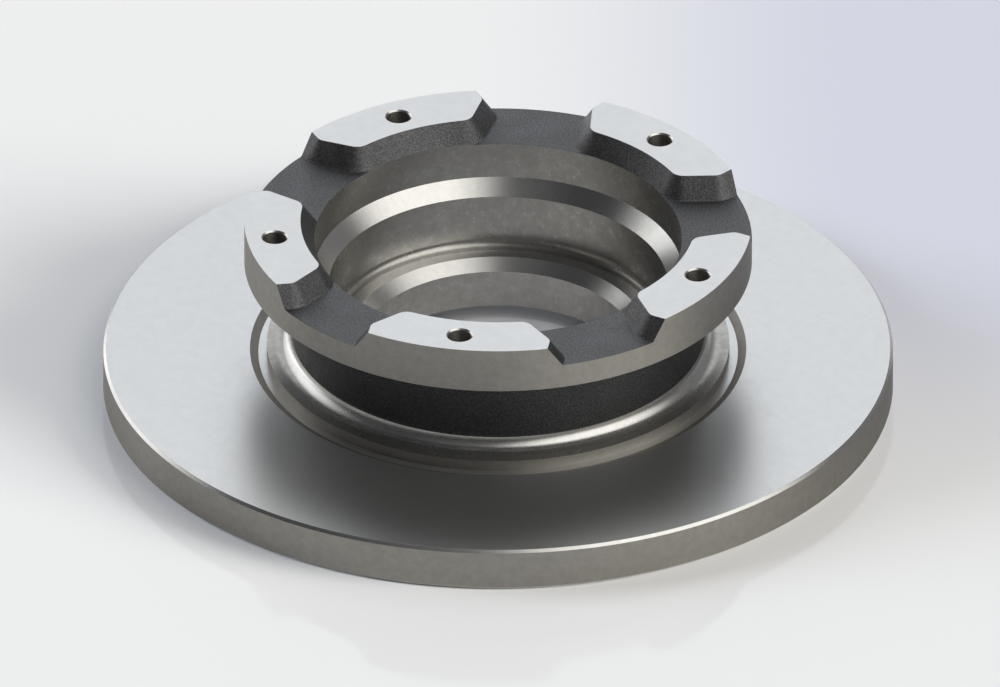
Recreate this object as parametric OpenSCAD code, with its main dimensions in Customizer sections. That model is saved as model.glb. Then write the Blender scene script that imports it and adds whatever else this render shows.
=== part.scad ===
// Brake disc: one iron casting with a solid friction ring, a stepped hat and a bolting flange.
// Millimetres. +Z runs up the axis, and the lower friction face lies on z = 0.

/* [Friction ring] */
// Outer diameter of the friction ring
disc_d = 280; // [262:1:320]
// Thickness of the friction ring
disc_t = 16; // [13:0.5:22]
// Bevel on the upper and lower edges of the rim
rim_bevel = 1; // [0.5:0.1:2]
// Inner diameter of both friction faces
face_inner_d = 176; // [173:0.5:190]

/* [Root groove] */
// Diameter where the groove floor begins, at the foot of the cone from the friction face
groove_d = 170; // [168:0.5:172]
// Depth of the groove floor below the upper friction face
groove_depth = 1.5; // [0.5:0.1:3]
// Diameter of the shoulder that stands in the groove
shoulder_d = 164; // [160:0.5:166]
// Height of the shoulder above the groove floor
shoulder_h = 4; // [2:0.1:6]

/* [Hat] */
// Overall height, from the lower friction face to the boss tops
overall_h = 68.7; // [62:0.1:80]
// Outer diameter of the neck
neck_d = 146; // [143:0.5:148]
// Fillet between the shoulder and the neck
root_fillet = 6; // [3:0.1:7]
// Outer diameter of the flange
flange_d = 180; // [176:1:190]
// Thickness of the flange between the bosses
flange_t = 9; // [6:0.1:12]
// Fillet between the neck and the underside of the flange
flange_fillet = 2.5; // [1:0.1:4]

/* [Bosses] */
// Number of bosses and bolt holes
boss_count = 5; // [3:1:6]
// Height of the bosses above the flange
boss_h = 7.6; // [4:0.1:10]
// Width of a boss top
boss_w = 64.6; // [50:0.1:70]
// Distance from the disc's axis to where the sides of a boss turn inwards
boss_turn = 77.9; // [74:0.1:82]
// Angle that the flanks turn inwards by
flank_angle = 42.5; // [35:0.5:50]
// Radial land between the upper bore and a boss top
boss_setback = 4.8; // [3:0.1:6]
// Draft of the cast sides, from upright
draft_angle = 34; // [20:1:40]
// Corner radius between the side and the flank of a boss top
turn_radius = 4; // [2:0.1:6]
// Corner radius between the flank and the inner wall of a boss top
inner_radius = 5; // [3:0.1:6]

/* [Bolt holes] */
// Diameter of the bolt circle
bolt_circle_d = 160; // [156:0.5:164]
// Diameter of the bolt holes
bolt_hole_d = 8.5; // [7:0.1:11]
// Bevel at the mouth of each bolt hole
bolt_bevel = 0.5; // [0.2:0.1:1]

/* [Bore] */
// Diameter of the upper bore
upper_bore_d = 130.4; // [126:0.2:132]
// Depth of the upper bore below the boss tops
upper_bore_depth = 21; // [18:0.5:24]
// Diameter of the middle bore, under the upper cone
middle_bore_d = 120; // [116:0.5:122]
// Height of the inner shelf above the upper friction face
shelf_rise = 6.5; // [5:0.1:9]
// Fillet between the middle bore and the inner shelf
shelf_fillet = 3; // [1:0.1:3.5]
// Diameter of the lower cone where it leaves the shelf
lower_cone_d = 104.4; // [100:0.2:108]
// Height of the lower cone
lower_cone_h = 3.4; // [2:0.1:5]
// Diameter of the lower bore
lower_bore_d = 95; // [90:0.5:98]

/* [Underside] */
// Depth of the relief inside the lower friction face
relief_depth = 5; // [2:0.1:6]
// Diameter of the relief's flat ceiling
relief_d = 166; // [150:1:170]

/* [Hidden] */
$fn = 180;
// Overshoot of every cut past the surface that it opens
over = 2;
disc_r = disc_d / 2;
face_r = face_inner_d / 2;
neck_r = neck_d / 2;
flange_r = flange_d / 2;
shoulder_r = shoulder_d / 2;
upper_r = upper_bore_d / 2;
middle_r = middle_bore_d / 2;
groove_z = disc_t - groove_depth;
shoulder_z = groove_z + shoulder_h;
floor_z = overall_h - boss_h;
flange_z = floor_z - flange_t;
upper_cone_z = overall_h - upper_bore_depth;
// The upper cone falls at 45 degrees
upper_cone_h = upper_r - middle_r;
shelf_z = disc_t + shelf_rise;
lower_cone_z = shelf_z - lower_cone_h;
// How far a drafted side moves outwards for each millimetre that it goes down
draft = tan(draft_angle);
// The blank of a boss reaches past the flange's floor, top and outer wall
blank_z0 = floor_z - over;
blank_z1 = overall_h + over;
blank_r = flange_r + 2 * over;
// Edge of the blocks that cut a boss's flat sides
block = 4 * flange_r;
// How many radii a corner's cut reaches out, well past the corner
corner_reach = 3;
boss_inner_r = upper_r + boss_setback;
boss_pitch = 360 / boss_count;
// Direction of the first boss, seen from above
first_boss = -90;

// Directions in a boss's own plan, where x runs across it and y runs outwards from the axis
side_normal = [1, 0];
flank_normal = [cos(flank_angle), -sin(flank_angle)];
flank_along = [sin(flank_angle), cos(flank_angle)];
turn_point = [boss_w / 2, boss_turn];
// Distance of the flank line from the axis, and the centres that the corner radii turn about
flank_offset = turn_point * flank_normal;
turn_centre = turn_point - turn_radius / (1 + side_normal * flank_normal) * (side_normal + flank_normal);
inner_reach = flank_offset - inner_radius;
inner_span = sqrt(pow(boss_inner_r + inner_radius, 2) - pow(inner_reach, 2));
inner_centre = inner_reach * flank_normal + inner_span * flank_along;

// Concave fillet of radius r in the corner at p, towards the quadrant q
module fillet(p, q, r) {
    difference() {
        translate(p + [min(q[0], 0), min(q[1], 0)] * r) square(r);
        translate(p + q * r) circle(r);
    }
}

// Half section of the turned and cast body, with the band that the bosses are left from
module section() {
    polygon([
        [face_r, 0],
        [disc_r - rim_bevel, 0],
        [disc_r, rim_bevel],
        [disc_r, disc_t - rim_bevel],
        [disc_r - rim_bevel, disc_t],
        [face_r, disc_t],
        [groove_d / 2, groove_z],
        [shoulder_r, groove_z],
        [shoulder_r, shoulder_z],
        [neck_r, shoulder_z],
        [neck_r, flange_z],
        [flange_r, flange_z],
        [flange_r, overall_h],
        [upper_r, overall_h],
        [upper_r, upper_cone_z],
        [middle_r, upper_cone_z - upper_cone_h],
        [middle_r, shelf_z],
        [lower_cone_d / 2, shelf_z],
        [lower_bore_d / 2, lower_cone_z],
        [lower_bore_d / 2, relief_depth],
        [relief_d / 2, relief_depth]
    ]);
    fillet([neck_r, shoulder_z], [1, 1], root_fillet);
    fillet([neck_r, flange_z], [1, -1], flange_fillet);
    fillet([middle_r, shelf_z], [-1, 1], shelf_fillet);
}

// Radius at height z of a drafted outer round, and of an inner one, with radius r at the boss tops
function outer_round(r, z) = r + draft * (overall_h - z);
function inner_round(r, z) = r - draft * (overall_h - z);

// All that lies beyond a drafted plane, which meets the boss top at a distance from the axis
module beyond(normal, distance) {
    rotate([0, 0, atan2(normal[1], normal[0])])
        translate([distance, 0, overall_h])
            rotate([0, -draft_angle, 0])
                translate([0, -block / 2, -block / 2])
                    cube(block);
}

// Cone that reaches past the blank of a boss at both ends
module drafted_round(r_low, r_high) {
    translate([0, 0, blank_z0 - over])
        cylinder(h = blank_z1 - blank_z0 + 2 * over, r1 = r_low, r2 = r_high);
}

// What a rounded corner takes off between two drafted walls that face a and b
module corner_cut(centre, a, b, r) {
    reach = corner_reach * outer_round(r, blank_z0);
    translate([centre[0], centre[1], 0])
        difference() {
            translate([0, 0, blank_z0])
                linear_extrude(blank_z1 - blank_z0)
                    polygon([[0, 0], reach * a, reach * b]);
            drafted_round(outer_round(r, blank_z0 - over), outer_round(r, blank_z1 + over));
        }
}

// One end of a boss, with its side, its flank and the two corners
module boss_end_cuts() {
    beyond(side_normal, boss_w / 2);
    beyond(flank_normal, flank_offset);
    corner_cut(turn_centre, side_normal, flank_normal, turn_radius);
    corner_cut(inner_centre, flank_normal, -inner_centre / norm(inner_centre), inner_radius);
}

// A boss that stands out of the flange, drafted on all sides but its outer wall
module boss() {
    difference() {
        translate([-blank_r, 0, blank_z0]) cube([2 * blank_r, blank_r, blank_z1 - blank_z0]);
        boss_end_cuts();
        mirror([1, 0, 0]) boss_end_cuts();
        drafted_round(
            inner_round(boss_inner_r, blank_z0 - over),
            inner_round(boss_inner_r, blank_z1 + over)
        );
    }
}

module at_each_boss() {
    for (i = [0 : boss_count - 1])
        rotate([0, 0, first_boss - 90 + i * boss_pitch]) children();
}

// The spaces that the casting leaves between the bosses
module pockets() {
    difference() {
        translate([0, 0, floor_z]) cylinder(h = boss_h + over / 2, r = flange_r + over);
        at_each_boss() boss();
    }
}

module bolt_hole() {
    translate([0, bolt_circle_d / 2, flange_z - over])
        cylinder(h = overall_h - flange_z + 2 * over, d = bolt_hole_d);
    translate([0, bolt_circle_d / 2, overall_h - bolt_bevel])
        cylinder(h = 2 * bolt_bevel, d1 = bolt_hole_d, d2 = bolt_hole_d + 4 * bolt_bevel);
}

module brake_disc() {
    color([0.62, 0.63, 0.62])
        difference() {
            rotate_extrude() section();
            pockets();
            at_each_boss() bolt_hole();
        }
}

brake_disc();
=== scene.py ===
"""Brake disc: the looks of one iron casting, machined in part, on a pale studio floor.

The casting is drawn once as half of one boss's share of the disc. Geometry Nodes mirror
that half and repeat it round the axis, and five finishes cover it: ground faces, smoothly
cut cones and fillets, bored walls, turned walls and the skin left by the sand mould. The
bored and turned finishes are darker partly as painted shade, for the dim surroundings their
faces mirror, and the skin is darkened below the flange as painted shade.
"""
import math

import bmesh
import bpy
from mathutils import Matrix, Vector


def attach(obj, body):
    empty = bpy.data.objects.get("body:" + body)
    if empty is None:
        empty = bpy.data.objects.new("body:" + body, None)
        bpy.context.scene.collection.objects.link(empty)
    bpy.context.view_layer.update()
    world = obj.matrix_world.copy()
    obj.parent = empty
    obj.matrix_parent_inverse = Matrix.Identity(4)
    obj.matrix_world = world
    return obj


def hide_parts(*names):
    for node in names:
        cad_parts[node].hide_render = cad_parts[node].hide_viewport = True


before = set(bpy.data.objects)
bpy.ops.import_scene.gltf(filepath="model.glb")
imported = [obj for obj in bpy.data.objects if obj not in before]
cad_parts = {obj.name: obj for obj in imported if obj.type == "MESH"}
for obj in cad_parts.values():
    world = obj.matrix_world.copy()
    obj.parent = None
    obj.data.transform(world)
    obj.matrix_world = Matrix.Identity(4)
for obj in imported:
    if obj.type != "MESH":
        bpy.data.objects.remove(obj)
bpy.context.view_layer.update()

MM = 0.001

# Friction ring
DISC_R = 140.0
DISC_T = 16.0
RIM_BEVEL = 1.0
FACE_INNER_R = 88.0

# Root groove and shoulder
GROOVE_R = 85.0
GROOVE_Z = 14.5
SHOULDER_R = 82.0
SHOULDER_Z = 18.5

# Hat
TOP_Z = 68.7
NECK_R = 73.0
ROOT_FILLET = 6.0
FLANGE_R = 90.0
FLANGE_Z = 52.1
FLOOR_Z = 61.1
FLANGE_FILLET = 2.5

# Bosses, in plan: u runs across a boss, and v runs outwards through its hole
BOSS_COUNT = 5
FIRST_BOSS = math.radians(-90)
HALF_PITCH = math.pi / BOSS_COUNT
SIDE_U = 32.3
TURN_V = 77.9
FLANK_TURN = math.radians(42.5)
BOSS_INNER_R = 70.0
DRAFT = math.tan(math.radians(34))
TURN_RADIUS = 4.0
INNER_RADIUS = 5.0
FOOT_FILLET = 1.0

# Bolt holes
BOLT_V = 80.0
HOLE_R = 4.25
HOLE_BEVEL = 0.5
HOLE_STEPS = 20

# Bore
UPPER_R = 65.2
UPPER_CONE_Z = 47.7
MIDDLE_R = 60.0
SHELF_Z = 22.5
SHELF_FILLET = 3.0
LOWER_CONE_R = 52.2
LOWER_CONE_H = 3.4
LOWER_R = 47.5

# Underside
RELIEF_DEPTH = 5.0
RELIEF_R = 83.0

# How far turned edges are eased
EASE = 0.15
# How far the neck's dark skin is carried down its root fillet as painted shade, and where the
# fillet is smoothly cut, all measured outwards from the neck. The rest of the fillet takes the
# darker bored finish, also as painted shade.
PAINTED_SHADE_REACH = 0.2
SMOOTH_FROM = 0.7
SMOOTH_TO = 3.7

# How finely round shapes are divided: columns in half a share, and the steps along an arc
COLUMNS = 36
FILLET_STEP = math.radians(7)
EASE_STEP = math.radians(15)
# The least angle between two faces that makes their edge a sharp one
SHARP_ANGLE = math.radians(20)
# How near two points lie that are one
WELD = 0.01 * MM

# What finish a face has. The bored and turned finishes are darker copies of the cut iron,
# partly as painted shade for faces that mirror dim surroundings or lie in shade
GROUND, CUT, BORED_AND_PAINTED_SHADE, TURNED_AND_PAINTED_SHADE, CAST = 0, 1, 2, 3, 4
FINISHES = ("Ground finish", "Cut finish", "Bored finish and painted shade", "Turned finish and painted shade", "Cast finish")

# Points along a boss's side, the turn into its flank, the flank and its inner corner
SIDE_STEPS, TURN_STEPS, FLANK_STEPS, CORNER_STEPS = 3, 6, 3, 10


def unit(angle):
    return Vector((math.cos(angle), math.sin(angle)))


def rounded(corners):
    """The corners (a, b, radius) as points, each with its corner's number, with a tangent arc at each."""
    chain = []
    for i, (a, b, radius) in enumerate(corners):
        here = Vector((a, b))
        if radius == 0:
            chain.append((here, i))
            continue
        before = (Vector(corners[i - 1][:2]) - here).normalized()
        after = (Vector(corners[i + 1][:2]) - here).normalized()
        half_opening = before.angle(after) / 2
        centre = here + (before + after).normalized() * radius / math.sin(half_opening)
        reach = radius / math.tan(half_opening)
        start = math.atan2(*reversed(here + before * reach - centre))
        end = math.atan2(*reversed(here + after * reach - centre))
        sweep = (end - start + math.pi) % math.tau - math.pi
        steps = math.ceil(abs(sweep) / (FILLET_STEP if radius > EASE else EASE_STEP))
        chain += [(centre + unit(start + sweep * k / steps) * radius, i) for k in range(steps + 1)]
    return chain


class Casting:
    """A mesh that is filled in face by face, in millimetres, with a finish on each face."""

    def __init__(self):
        self.points = []
        self.faces = []
        self.finishes = []

    def point(self, x, y, z):
        self.points.append((x * MM, y * MM, z * MM))
        return len(self.points) - 1

    def azimuth(self, index):
        x, y, _ = self.points[index]
        return math.atan2(y, x)

    def ring(self, r, z, start=0.0, end=HALF_PITCH):
        """An arc about the disc's axis, in steps of about one column."""
        steps = max(1, round(COLUMNS * abs(end - start) / HALF_PITCH))
        turns = [start + (end - start) * i / steps for i in range(steps + 1)]
        return [self.point(r * math.cos(t), r * math.sin(t), z) for t in turns]

    def face(self, corners, finish):
        self.faces.append(corners)
        self.finishes.append(finish)

    def strip(self, one, other, finish):
        """Quads between two chains, as far as the shorter one goes."""
        for i in range(min(len(one), len(other)) - 1):
            self.face((one[i], one[i + 1], other[i + 1], other[i]), finish)

    def bridge(self, one, other, finish):
        """Triangles between two chains that both run from the boss's middle to the pocket's."""
        i = j = 0
        while i < len(one) - 1 or j < len(other) - 1:
            if j == len(other) - 1:
                step_one = True
            elif i == len(one) - 1:
                step_one = False
            else:
                step_one = self.azimuth(one[i + 1]) <= self.azimuth(other[j + 1])
            if step_one:
                self.face((one[i], one[i + 1], other[j]), finish)
                i += 1
            else:
                self.face((one[i], other[j + 1], other[j]), finish)
                j += 1

    def mesh(self, name):
        mesh = bpy.data.meshes.new(name)
        mesh.from_pydata(self.points, [], self.faces)
        finish = mesh.attributes.new("finish", "INT", "FACE")
        finish.data.foreach_set("value", self.finishes)
        mesh.update()
        return mesh


def turned_body(casting):
    """Revolves the surface from the upper cone down the bore, under the disc and up the neck.

    Each corner gives the finish of its arc and of the stretch that leads to it. The first and
    the last ring are given back, for the upper bore and the flange to join on.
    """
    corners = [
        (UPPER_R, UPPER_CONE_Z, 0, CUT),
        (MIDDLE_R, UPPER_CONE_Z - UPPER_R + MIDDLE_R, EASE, CUT),
        (MIDDLE_R, SHELF_Z, SHELF_FILLET, BORED_AND_PAINTED_SHADE),
        (LOWER_CONE_R, SHELF_Z, EASE, CUT),
        (LOWER_R, SHELF_Z - LOWER_CONE_H, EASE, CUT),
        (LOWER_R, RELIEF_DEPTH, EASE, BORED_AND_PAINTED_SHADE),
        (RELIEF_R, RELIEF_DEPTH, 0, CAST),
        (FACE_INNER_R, 0, EASE, CUT),
        (DISC_R - RIM_BEVEL, 0, EASE, GROUND),
        (DISC_R, RIM_BEVEL, EASE, CUT),
        (DISC_R, DISC_T - RIM_BEVEL, EASE, TURNED_AND_PAINTED_SHADE),
        (DISC_R - RIM_BEVEL, DISC_T, EASE, CUT),
        (FACE_INNER_R, DISC_T, EASE, GROUND),
        (GROOVE_R, GROOVE_Z, 0, TURNED_AND_PAINTED_SHADE),
        (SHOULDER_R, GROOVE_Z, 0, GROUND),
        (SHOULDER_R, SHOULDER_Z, 0, TURNED_AND_PAINTED_SHADE),
        # Painted shade: the shoulder's top takes the darker bored finish
        (NECK_R + ROOT_FILLET + EASE, SHOULDER_Z, 0, BORED_AND_PAINTED_SHADE),
        (NECK_R, SHOULDER_Z, ROOT_FILLET, BORED_AND_PAINTED_SHADE),
        (NECK_R, FLANGE_Z, FLANGE_FILLET, CAST),
        (NECK_R + FLANGE_FILLET + EASE / 2, FLANGE_Z, 0, CAST),
    ]
    chain = rounded([corner[:3] for corner in corners])
    rings = [casting.ring(p.x, p.y) for p, _ in chain]
    for k in range(1, len(rings)):
        finish = corners[chain[k][1]][3]
        reach = chain[k - 1][0].x - NECK_R
        # Painted shade: the root fillet keeps the dark skin at the neck and the darker bored finish beside
        # its smoothly cut band
        if SHOULDER_Z < chain[k - 1][0].y:
            if SMOOTH_FROM <= reach < SMOOTH_TO:
                finish = CUT
            elif 0 <= reach < PAINTED_SHADE_REACH:
                finish = CAST
        casting.strip(rings[k - 1], rings[k], finish)
    return rings[0], rings[-1]


def bolt_hole(casting):
    """Half of the bolt hole. Gives back its mouth and its lower edge, each from the axis outwards."""
    def half_circle(r, z):
        turns = [math.pi * (1 - i / HOLE_STEPS) for i in range(HOLE_STEPS + 1)]
        return [casting.point(BOLT_V + r * math.cos(t), r * math.sin(t), z) for t in turns]

    mouth = half_circle(HOLE_R + HOLE_BEVEL, TOP_Z)
    throat = half_circle(HOLE_R, TOP_Z - HOLE_BEVEL)
    foot = half_circle(HOLE_R, FLANGE_Z)
    casting.strip(mouth, throat, CUT)
    casting.strip(throat, foot, TURNED_AND_PAINTED_SHADE)
    return mouth, foot


def boss_plan():
    """The flank's normal, and the centres of the turn and of the inner corner, in plan (u, v)."""
    normal = unit(-FLANK_TURN)
    along = Vector((-normal.y, normal.x))
    side = Vector((1, 0))
    turn_point = Vector((SIDE_U, TURN_V))
    turn_centre = turn_point - (side + normal) * TURN_RADIUS / (1 + side.dot(normal))
    reach = turn_point.dot(normal) - INNER_RADIUS
    span = math.sqrt((BOSS_INNER_R + INNER_RADIUS) ** 2 - reach**2)
    return normal, turn_centre, normal * reach + along * span


def boss_ring(casting, offset, z):
    """The boss's outline moved out by offset, from the flange's edge to the boss's middle or the bore."""
    normal, turn_centre, inner_centre = boss_plan()
    side_u = SIDE_U + offset
    side_end = Vector((side_u, math.sqrt(FLANGE_R**2 - side_u**2)))
    turn_start = Vector((side_u, turn_centre.y))
    turn_r = TURN_RADIUS + offset
    flank_start = turn_centre + normal * turn_r
    corner_r = INNER_RADIUS + offset
    flank_end = inner_centre + normal * corner_r
    reaches_bore = offset > BOSS_INNER_R - UPPER_R + WELD
    corner_end = math.atan2(-inner_centre.y, -inner_centre.x)
    if reaches_bore:
        far = inner_centre.length
        cosine = (UPPER_R**2 - far**2 - corner_r**2) / (2 * far * corner_r)
        corner_end += math.pi - math.acos(cosine)

    plan = [side_end.lerp(turn_start, i / SIDE_STEPS) for i in range(SIDE_STEPS)]
    plan += [turn_centre + unit(-FLANK_TURN * i / TURN_STEPS) * turn_r for i in range(TURN_STEPS)]
    plan += [flank_start.lerp(flank_end, i / FLANK_STEPS) for i in range(FLANK_STEPS)]
    for i in range(CORNER_STEPS + 1):
        angle = -FLANK_TURN + (corner_end + FLANK_TURN) * i / CORNER_STEPS
        plan.append(inner_centre + unit(angle) * corner_r)
    ring = [casting.point(p.y, p.x, z) for p in plan]
    if not reaches_bore:
        tip = math.atan2(inner_centre.x, inner_centre.y)
        ring += casting.ring(BOSS_INNER_R - offset, z, tip, 0.0)[1:]
    return ring


def boss_levels():
    """How far a boss's wall stands out, and how high, from its eased top edge to its fillet's foot."""
    foot = DRAFT * (TOP_Z - FLOOR_Z)
    at_bore = BOSS_INNER_R - UPPER_R
    corners = [
        (-at_bore, TOP_Z, 0),
        (0, TOP_Z, EASE),
        (foot, FLOOR_Z, FOOT_FILLET),
        (foot + at_bore, FLOOR_Z, 0),
    ]
    levels = [tuple(p) for p, _ in rounded(corners)[1:-1]]
    levels.append((at_bore, TOP_Z - at_bore / DRAFT))
    return sorted(levels)


def flange_and_boss(casting, bore_ring, neck_ring):
    """Half of a boss and of the pocket beside it, the flange's wall and underside, and the upper bore."""
    mouth, foot = bolt_hole(casting)
    rings = [boss_ring(casting, offset, z) for offset, z in boss_levels()]
    for upper, lower in zip(rings, rings[1:]):
        casting.strip(upper, lower, CAST)

    top_arc = casting.ring(FLANGE_R, TOP_Z, 0.0, casting.azimuth(rings[0][0]))[:-1]
    casting.face(rings[0] + mouth + top_arc, GROUND)

    pocket_arc = casting.ring(FLANGE_R, FLOOR_Z, casting.azimuth(rings[-1][0]))[1:]
    bore_arc = casting.ring(UPPER_R, FLOOR_Z, casting.azimuth(rings[-1][-1]))[1:]
    casting.face(rings[-1] + bore_arc + pocket_arc[::-1], CAST)

    edge = rounded([(NECK_R, FLANGE_Z, 0), (FLANGE_R, FLANGE_Z, EASE), (FLANGE_R, FLOOR_Z, 0)])[1:-1]
    edge_rings = [casting.ring(p.x, p.y) for p, _ in edge]
    for lower, upper in zip(edge_rings, edge_rings[1:]):
        casting.strip(lower, upper, TURNED_AND_PAINTED_SHADE)
    casting.face(neck_ring[::-1] + foot + edge_rings[0], CAST)
    casting.bridge(edge_rings[-1], top_arc + [ring[0] for ring in rings] + pocket_arc, TURNED_AND_PAINTED_SHADE)

    whole = max(len(ring) for ring in rings)
    last_whole = [ring for ring in rings if len(ring) == whole][-1]
    through = [ring for ring in rings if len(ring) < whole]
    tip = len(through[0]) - 1
    rim = last_whole[:tip - 1:-1] + [ring[-1] for ring in through] + bore_arc
    casting.bridge(bore_ring, rim, BORED_AND_PAINTED_SHADE)


class Graph:
    """A node tree that is added to one node at a time."""

    def __init__(self, tree):
        self.tree = tree

    def add(self, kind, settings=None, inputs=None, output=0):
        """Adds a node, sets it up, fills or links its sockets, and gives back one of its outputs."""
        node = self.tree.nodes.new(kind)
        for name, value in (settings or {}).items():
            setattr(node, name, value)
        for name, value in (inputs or {}).items():
            for part in value if isinstance(value, list) else [value]:
                if isinstance(part, Socket):
                    self.tree.links.new(part.end, node.inputs[name])
                else:
                    node.inputs[name].default_value = part
        return Socket(self, node.outputs[output])

    def dot(self, one, other):
        """How far a place or a direction reaches along another."""
        return self.add("ShaderNodeVectorMath", {"operation": "DOT_PRODUCT"}, {0: one, 1: other}, "Value")

    def scaled(self, colour, share):
        return self.add("ShaderNodeVectorMath", {"operation": "SCALE"}, {0: colour, "Scale": share})

    def added(self, one, other):
        """Two colours of light, added."""
        return self.add("ShaderNodeVectorMath", {"operation": "ADD"}, {0: one, 1: other})

    def noise(self, coordinates, scale, detail=2.0, roughness=0.5):
        sizes = {"Vector": coordinates, "Scale": scale, "Detail": detail, "Roughness": roughness}
        return self.add("ShaderNodeTexNoise", None, sizes)

    def ramp(self, value, low, high, to_low=0.0, to_high=1.0):
        """The value's stretch from low to high, eased at both ends, as to_low to to_high."""
        ends = {"Value": value, 1: low, 2: high, 3: to_low, 4: to_high}
        return self.add("ShaderNodeMapRange", {"interpolation_type": "SMOOTHSTEP"}, ends)

    def blend(self, share, one, other, kind="MIX"):
        """Two colours, mixed by a share of the second."""
        colours = {0: share, 6: one, 7: other}
        return self.add("ShaderNodeMix", {"data_type": "RGBA", "blend_type": kind}, colours, 2)


class Socket:
    """An output that takes arithmetic, so that a pattern is written as a formula."""

    def __init__(self, graph, end):
        self.graph = graph
        self.end = end

    def math(self, operation, one, other):
        return self.graph.add("ShaderNodeMath", {"operation": operation}, {0: one, 1: other})

    def __add__(self, other):
        return self.math("ADD", self, other)

    def __rsub__(self, other):
        return self.math("SUBTRACT", other, self)

    def __mul__(self, other):
        return self.math("MULTIPLY", self, other)

    def __truediv__(self, other):
        return self.math("DIVIDE", self, other)

    __radd__ = __add__
    __rmul__ = __mul__


# Patterns in the iron: features to a metre, and the depth of the sand's print in millimetres
CLOUD_SCALE = 300.0
SAND_SCALE = 1900.0
PATCH_SCALE = 120.0
SAND_DEPTH = 0.14
# Painted shade: how much of its colour the skin keeps below the flange, where the flange shades the neck
NECK_PAINTED_SHADE = (0.5, 0.5, 0.5, 1.0)


def start_material(name):
    """A material with an empty Principled shader, its graph and its Object coordinates."""
    material = bpy.data.materials.new(name)
    material.use_nodes = True
    graph = Graph(material.node_tree)
    shader = material.node_tree.nodes["Principled BSDF"]
    coordinates = graph.add("ShaderNodeTexCoord", output="Object")
    return material, graph, shader, coordinates


def finish_material(graph, shader, colour, roughness, height=None, depth=0.0):
    links = graph.tree.links
    links.new(colour.end, shader.inputs["Base Color"])
    links.new(roughness.end, shader.inputs["Roughness"])
    if height is not None:
        bump = graph.add("ShaderNodeBump", None, {"Height": height, "Distance": depth * MM})
        links.new(bump.end, shader.inputs["Normal"])


def machined_iron(name, pale, dull, smooth, rough, lay=0.0, edge=1.0):
    """Cut iron, with a faint cloud of tone from the graphite in it.

    Its lay is how far the tool's marks draw a highlight out across them, and its edge is how
    much it shines at a glancing view.
    """
    material, graph, shader, where = start_material(name)
    shader.inputs["Metallic"].default_value = 0.96
    shader.inputs["Specular Tint"].default_value = (edge, edge, edge, 1.0)
    shader.inputs["Anisotropic"].default_value = lay
    shader.inputs["Anisotropic Rotation"].default_value = 0.25
    cloud = graph.ramp(graph.noise(where, CLOUD_SCALE, 5.0, 0.75), 0.3, 0.7)
    colour = graph.blend(cloud, (*dull, 1.0), (*pale, 1.0))
    roughness = rough + cloud * (smooth - rough)
    finish_material(graph, shader, colour, roughness)
    return material


def cast_skin(name, pale, dull):
    """The mould's sand, printed in dark iron, with painted shade that darkens it below the flange."""
    material, graph, shader, where = start_material(name)
    shader.inputs["Metallic"].default_value = 1.0
    sand = graph.noise(where, SAND_SCALE, 2.0, 0.7)
    patches = graph.noise(where, PATCH_SCALE, 3.0)
    tone = graph.ramp(sand, 0.35, 0.65) * 0.75 + patches * 0.25
    colour = graph.blend(tone, (*dull, 1.0), (*pale, 1.0))
    # Painted shade: below the flange the skin's colour is darkened to half, for the shade under the flange
    above_painted_shade = graph.ramp(graph.dot(where, (0, 0, 1)), (FLANGE_Z - 1) * MM, (FLANGE_Z + 1) * MM)
    colour = graph.blend(1 - above_painted_shade, colour, NECK_PAINTED_SHADE, "MULTIPLY")
    roughness = graph.ramp(patches, 0.3, 0.7, 0.46, 0.54)
    finish_material(graph, shader, colour, roughness, sand, SAND_DEPTH)
    return material


def repeat_tree():
    """Geometry Nodes that mirror a half share, repeat it round the axis and give it its finishes."""
    tree = bpy.data.node_groups.new("casting round its axis", "GeometryNodeTree")
    inputs = {"Geometry": "NodeSocketGeometry", "Bosses": "NodeSocketInt", "First boss": "NodeSocketFloat"}
    inputs.update({name: "NodeSocketMaterial" for name in FINISHES})
    for name, kind in inputs.items():
        tree.interface.new_socket(name, in_out="INPUT", socket_type=kind)
    tree.interface.new_socket("Geometry", in_out="OUTPUT", socket_type="NodeSocketGeometry")
    graph = Graph(tree)
    given = tree.nodes.new("NodeGroupInput").outputs
    half, bosses, first = (Socket(graph, given[n]) for n in ("Geometry", "Bosses", "First boss"))

    mirrored = graph.add("GeometryNodeTransform", None, {"Geometry": half, "Scale": (1, -1, 1)})
    mirrored = graph.add("GeometryNodeFlipFaces", None, {"Mesh": mirrored})
    share = graph.add("GeometryNodeJoinGeometry", None, {"Geometry": [half, mirrored]})
    points = graph.add("GeometryNodePoints", None, {"Count": bosses})
    turn = first + graph.add("GeometryNodeInputIndex") * math.tau / bosses
    axis_turn = graph.add("ShaderNodeCombineXYZ", None, {"Z": turn})
    rotation = graph.add("FunctionNodeEulerToRotation", None, {"Euler": axis_turn})
    placed = {"Points": points, "Instance": share, "Rotation": rotation}
    shares = graph.add("GeometryNodeInstanceOnPoints", None, placed)
    casting = graph.add("GeometryNodeRealizeInstances", None, {"Geometry": shares})
    casting = graph.add("GeometryNodeMergeByDistance", None, {"Geometry": casting, "Distance": WELD})
    finish = graph.add("GeometryNodeInputNamedAttribute", {"data_type": "INT"}, {"Name": "finish"})
    for value, name in enumerate(FINISHES):
        chosen = graph.add(
            "FunctionNodeCompare", {"data_type": "INT", "operation": "EQUAL"}, {2: finish, 3: value}
        )
        casting = graph.add(
            "GeometryNodeSetMaterial",
            None,
            {"Geometry": casting, "Selection": chosen, "Material": Socket(graph, given[name])},
        )
    out = tree.nodes.new("NodeGroupOutput")
    tree.links.new(casting.end, out.inputs["Geometry"])
    return tree


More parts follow.
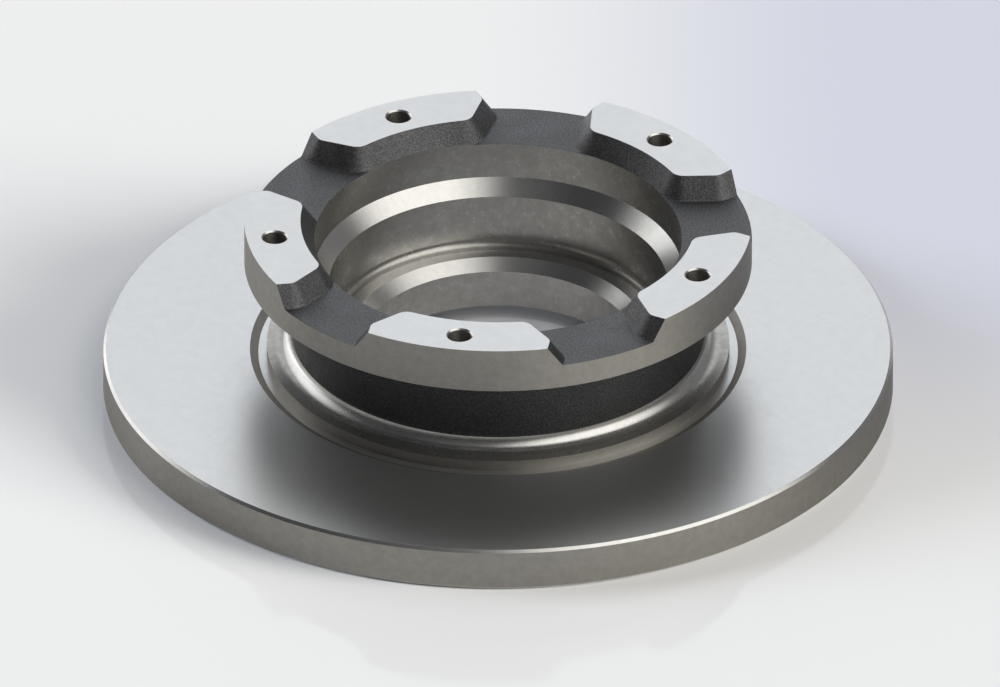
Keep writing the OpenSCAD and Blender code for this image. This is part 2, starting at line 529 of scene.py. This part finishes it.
def whole_casting(finishes):
    """The half share, repeated into one closed mesh, with its sharp edges marked."""
    casting = Casting()
    bore_ring, neck_ring = turned_body(casting)
    flange_and_boss(casting, bore_ring, neck_ring)
    half = bpy.data.objects.new("half_share", casting.mesh("half_share"))
    bpy.context.scene.collection.objects.link(half)

    tree = repeat_tree()
    modifier = half.modifiers.new("repeat", "NODES")
    modifier.node_group = tree
    values = {"Bosses": BOSS_COUNT, "First boss": FIRST_BOSS, **finishes}
    for item in tree.interface.items_tree:
        if item.in_out == "INPUT" and item.name in values:
            modifier[item.identifier] = values[item.name]
    evaluated = half.evaluated_get(bpy.context.evaluated_depsgraph_get())
    mesh = bpy.data.meshes.new_from_object(evaluated)
    bpy.data.objects.remove(half)

    shape = bmesh.new()
    shape.from_mesh(mesh)
    bmesh.ops.recalc_face_normals(shape, faces=shape.faces)
    for edge in shape.edges:
        edge.smooth = edge.calc_face_angle(0.0) < SHARP_ANGLE
    for face in shape.faces:
        face.smooth = True
    open_edges = sum(1 for edge in shape.edges if not edge.is_manifold)
    print("casting:", len(shape.verts), "vertices,", len(shape.faces), "faces,", open_edges, "open edges")
    shape.to_mesh(mesh)
    shape.free()
    mesh.name = "casting"
    piece = bpy.data.objects.new("casting", mesh)
    bpy.context.scene.collection.objects.link(piece)
    weights = piece.modifiers.new("flat faces stay flat", "WEIGHTED_NORMAL")
    weights.keep_sharp = True
    return piece


# The camera's place, in degrees and metres: it sees the scene in parallel, as the photograph does
CAMERA_AZIMUTH = 9.8
CAMERA_ELEVATION = 30.97
CAMERA_DISTANCE = 3.0
# The width of a pixel at the disc
PIXEL = 0.3545 * MM
PHOTO_WIDTH = 1000
# The point in the middle of the picture: up the disc's axis, then right and down in the picture
AIM_HEIGHT = 18.07 * MM
AIM_RIGHT = 0.67 * MM
AIM_DROP = 0.15 * MM


def bearing(azimuth, elevation):
    """A direction given from the camera's side: azimuth 0 is towards the camera, positive to its right."""
    turn = math.radians(CAMERA_AZIMUTH + azimuth)
    rise = math.radians(elevation)
    return Vector((math.sin(turn) * math.cos(rise), -math.cos(turn) * math.cos(rise), math.sin(rise)))


def camera():
    view = bpy.data.cameras.new("camera")
    view.type = "ORTHO"
    view.ortho_scale = PIXEL * PHOTO_WIDTH
    eye = bpy.data.objects.new("camera", view)
    bpy.context.scene.collection.objects.link(eye)
    back = bearing(0, CAMERA_ELEVATION)
    right = bearing(90, 0)
    up = back.cross(right)
    aim = Vector((0, 0, AIM_HEIGHT)) + right * AIM_RIGHT - up * AIM_DROP
    eye.location = aim + back * CAMERA_DISTANCE
    eye.rotation_euler = back.to_track_quat("Z", "Y").to_euler()
    bpy.context.scene.camera = eye


# The floor, in metres: its colour turns from pale to a darker, bluish painted shade at the back right
FLOOR_RADIUS = 6.0
FLOOR_STEPS = 64
FLOOR_PALE = (0.775, 0.778, 0.785, 1.0)
FLOOR_PAINTED_SHADE = (0.585, 0.60, 0.69, 1.0)


def floor():
    """A wide pale floor with a soft gloss, and a darker, bluish painted shade at the back right."""
    mesh = bpy.data.meshes.new("floor")
    turns = [math.tau * i / FLOOR_STEPS for i in range(FLOOR_STEPS)]
    rim = [(*(unit(turn) * FLOOR_RADIUS), 0.0) for turn in turns]
    mesh.from_pydata(rim, [], [list(range(FLOOR_STEPS))])
    piece = bpy.data.objects.new("floor", mesh)
    bpy.context.scene.collection.objects.link(piece)
    material, graph, shader, where = start_material("pale_floor")
    # Painted shade: a darker, bluish colour fades in towards the back right
    rightwards = graph.ramp(graph.dot(where, bearing(90, 0)), -0.02, 0.13)
    backwards = graph.ramp(graph.dot(where, bearing(180, 0)), -0.1, 0.08)
    floor_with_painted_shade = graph.blend(rightwards * backwards, FLOOR_PALE, FLOOR_PAINTED_SHADE)
    graph.tree.links.new(floor_with_painted_shade.end, shader.inputs["Base Color"])
    shader.inputs["Roughness"].default_value = 0.06
    shader.inputs["Specular IOR Level"].default_value = 0.3
    mesh.materials.append(material)


# The studio's soft lights, in degrees: azimuth and elevation of the middle, inner and outer half
# angle, colour
LIGHTS = {
    "key on the right": (61, 45, 13, 43, (1.43, 1.40, 1.33)),
    "strip at the back left": (-130, 15, 2, 33, (0.98, 0.98, 0.98)),
    "low end of the strip": (-147, 2, 2, 24, (0.30, 0.30, 0.30)),
    "high end of the strip": (-115, 26, 2, 25, (0.42, 0.42, 0.41)),
    "backdrop": (180, 35, 10, 32, (0.99, 1.025, 1.06)),
    "fill at the back right": (145, 5, 5, 55, (0.12, 0.12, 0.125)),
    "fill over the front": (0, 64, 5, 36, (0.06, 0.06, 0.06)),
}
AMBIENT = (0.04, 0.04, 0.042)
# The pale ground that a low view shows beyond the floor. Its haze thins out between two heights
# above the horizon, given as sines, and leaves out the right, where the metal would mirror it.
GROUND_BEYOND = (0.7, 0.7, 0.7)
HAZE_FULL = 0.07
HAZE_TOP = 0.139

# Lamps that shade the floor on both sides of the disc: azimuth, elevation, spread, strength, colour
SIDE_LAMPS = {
    "right lamp": (74, 24, 28, 2.9, (1.015, 0.99, 0.925)),
    "left lamp": (-98, 24, 28, 1.85, (0.9, 0.96, 1.06)),
}

# Narrow lamps for the floor inside the bore, from above and from the front: elevation, the spot's
# distance behind the axis in millimetres, width, strength
BORE_LAMPS = {"bore lamp": (90, 0, 5.3, 15.0), "front bore lamp": (31, 48, 4.6, 13.0)}
# How far away they stand, in metres
BORE_LAMP_DISTANCE = 1.2


def bore_lamps():
    """Lamps that reach the floor inside the bore, where the bore's walls mirror it."""
    for name, (elevation, behind, width, strength) in BORE_LAMPS.items():
        lamp = bpy.data.lights.new(name, "SPOT")
        lamp.energy = strength
        lamp.spot_size = math.radians(width)
        lamp.spot_blend = 0.6
        lamp.shadow_soft_size = 0.02
        lamp.color = (0.93, 0.95, 1.0)
        piece = bpy.data.objects.new(name, lamp)
        back = bearing(0, elevation)
        piece.location = bearing(180, 0) * behind * MM + back * BORE_LAMP_DISTANCE
        piece.rotation_euler = back.to_track_quat("Z", "Y").to_euler()
        piece.visible_glossy = False
        bpy.context.scene.collection.objects.link(piece)


def side_lamps():
    """Two soft lamps that shade the floor, and that the metal doesn't mirror."""
    for name, (azimuth, elevation, spread, strength, colour) in SIDE_LAMPS.items():
        lamp = bpy.data.lights.new(name, "SUN")
        lamp.angle = math.radians(spread)
        lamp.energy = strength
        lamp.color = colour
        piece = bpy.data.objects.new(name, lamp)
        piece.rotation_euler = bearing(azimuth, elevation).to_track_quat("Z", "Y").to_euler()
        piece.visible_glossy = False
        bpy.context.scene.collection.objects.link(piece)


def studio():
    """Lights the scene from the world, as a few large soft sources round a dark room."""
    world = bpy.data.worlds.new("studio")
    world.use_nodes = True
    bpy.context.scene.world = world
    graph = Graph(world.node_tree)
    direction = graph.add("ShaderNodeTexCoord", output="Generated")
    light = AMBIENT
    for azimuth, elevation, inner, outer, colour in LIGHTS.values():
        towards = graph.dot(direction, bearing(azimuth, elevation))
        glow = graph.ramp(towards, math.cos(math.radians(outer)), math.cos(math.radians(inner)))
        light = graph.added(light, graph.scaled(colour, glow))

    rays = world.node_tree.nodes.new("ShaderNodeLightPath").outputs
    kinds = ("Is Camera Ray", "Is Glossy Ray", "Is Transmission Ray")
    camera_ray, glossy_ray, transmission_ray = (Socket(graph, rays[kind]) for kind in kinds)
    downwards = graph.dot(direction, (0, 0, -1))
    to_the_right = graph.ramp(graph.dot(direction, bearing(90, 0)), 0.35, 0.65)
    haze = graph.ramp(downwards, -HAZE_TOP, -HAZE_FULL) * (1 - to_the_right)
    below = haze + graph.ramp(downwards, 0.0, 0.02) * to_the_right
    seen = camera_ray + glossy_ray + transmission_ray
    light = graph.added(light, graph.scaled(GROUND_BEYOND, below * seen))
    background = world.node_tree.nodes["Background"]
    world.node_tree.links.new(light.end, background.inputs["Color"])


camera()
floor()
studio()
side_lamps()
bore_lamps()

piece = whole_casting({
    "Ground finish": machined_iron("ground_iron", (0.69, 0.69, 0.685), (0.67, 0.67, 0.665), 0.285, 0.335),
    "Cut finish": machined_iron("cut_iron", (0.69, 0.685, 0.67), (0.65, 0.645, 0.63), 0.22, 0.24),
    # Painted shade: the bored and turned irons are darker than the cut and ground ones, for the dim
    # surroundings their faces mirror
    "Bored finish and painted shade": machined_iron(
        "bored_iron_and_painted_shade", (0.53, 0.52, 0.495), (0.43, 0.42, 0.395), 0.265, 0.315, lay=0.5, edge=0.6
    ),
    "Turned finish and painted shade": machined_iron(
        "turned_iron_and_painted_shade", (0.39, 0.374, 0.345), (0.347, 0.332, 0.304), 0.39, 0.42, lay=0.85, edge=0.5
    ),
    "Cast finish": cast_skin("cast_skin", (0.245, 0.248, 0.255), (0.085, 0.086, 0.09)),
})
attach(piece, "root")
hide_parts("brake_disc")

bpy.context.scene.view_settings.view_transform = "Standard"
